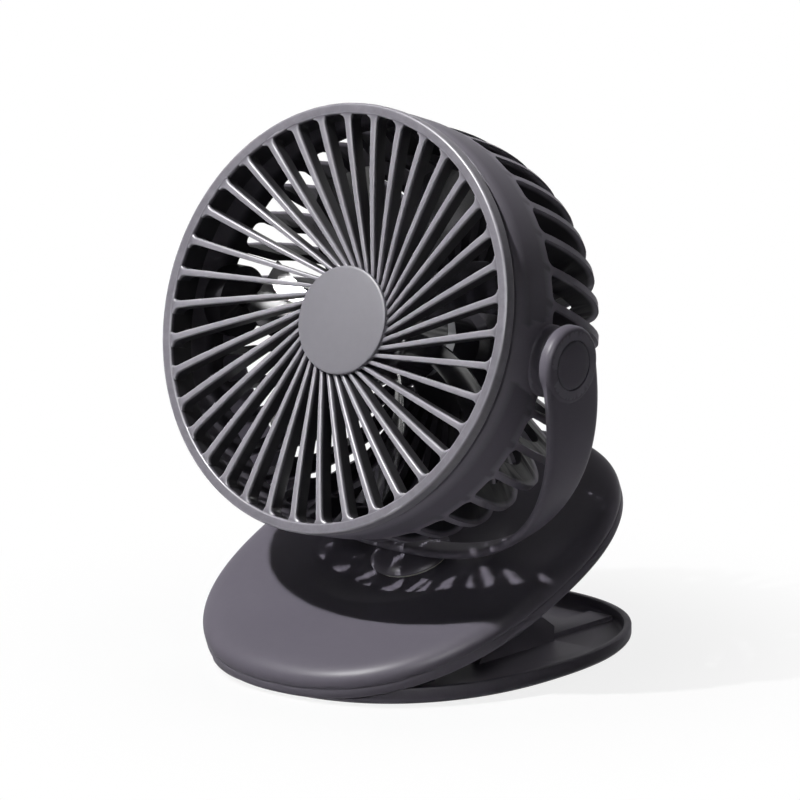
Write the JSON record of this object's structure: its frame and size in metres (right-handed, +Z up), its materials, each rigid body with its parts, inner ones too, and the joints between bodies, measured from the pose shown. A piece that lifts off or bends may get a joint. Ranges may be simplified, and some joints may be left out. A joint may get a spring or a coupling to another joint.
{
  "type": "clip fan",
  "caption": "Small round fan with a swept radial grille in a tilting, swivelling U-shaped yoke, on an oval clip base that also stands on a table.",
  "frame": {"origin": "on the ground under the middle of the oval lower jaw, on its flat underside", "axes": "+Z up; the fan blows towards -Y, where the clip's tips are; the clip's tail points to +Y; the tilt axis and the clip's hinge run along X"},
  "size_m": [0.1414, 0.1316, 0.1661],
  "materials": {
    "housing_plastic": "fine matte texture",
    "pad_rubber": "matte",
    "steel": "plain zinc finish",
    "nylon": "smooth",
    "cell_wrap": "shrink wrap",
    "board": "solder mask",
    "lens": "clear moulding",
    "rotor_plastic": "semi-gloss"
  },
  "bodies": {
    "lower_clip": {"lower_jaw": "housing_plastic", "lower_grip_pad": "pad_rubber", "hinge_pin": "steel", "torsion_spring": "steel"},
    "base": {"base_top_shell": "housing_plastic", "base_bottom_cover": "housing_plastic", "upper_grip_pad": "pad_rubber", "battery_cell": "cell_wrap", "circuit_board": "board", "tact_switch": "steel", "charging_port": "steel", "indicator_light_pipe": "lens", "cover_screw_1": "steel", "cover_screw_2": "steel", "cover_screw_3": "steel", "cover_screw_4": "steel"},
    "button": {"power_button": "housing_plastic"},
    "yoke": {"yoke": "housing_plastic", "swivel_washer": "nylon", "swivel_retainer": "steel", "swivel_screw": "steel", "pivot_screw_right": "steel", "pivot_cap_right": "housing_plastic", "pivot_screw_left": "steel", "pivot_cap_left": "housing_plastic"},
    "head": {"rear_housing": "housing_plastic", "rear_cap": "housing_plastic", "front_grille": "housing_plastic", "grille_disc": "housing_plastic", "motor_can": "steel", "motor_screw_1": "steel", "motor_screw_2": "steel", "pivot_washer_right": "nylon", "pivot_washer_left": "nylon"},
    "rotor": {"fan_rotor": "rotor_plastic", "motor_shaft": "steel"}
  },
  "joints": [
    {"name": "clip_hinge", "type": "hinge", "parent": "lower_clip", "child": "base", "pos_m": [0, 0.008, 0.0135], "axis": [-1, 0, 0], "range_deg": [0, 30], "stiffness_Nm_per_rad": 1.2, "springref_deg": -34.38, "deforming": ["torsion_spring"]},
    {"name": "yoke_swivel", "type": "hinge", "parent": "base", "child": "yoke", "pos_m": [0, -0.00373, 0.03021], "axis": [0, -0.3697, 0.9291], "range_deg": [-175, 175]},
    {"name": "head_tilt", "type": "hinge", "parent": "yoke", "child": "head", "pos_m": [0, -0.01598, 0.09964], "axis": [-1, 0, 0], "range_deg": [-40, 130]},
    {"name": "rotor_spin", "type": "hinge", "parent": "head", "child": "rotor", "pos_m": [0, -0.01598, 0.09964], "axis": [0, 0.9511, -0.309], "continuous": true},
    {"name": "button_press", "type": "slide", "parent": "base", "child": "button", "axis": [0, 0.3697, -0.9291], "range_m": [0, 0.0008], "stiffness_N_per_m": 800}
  ]
}
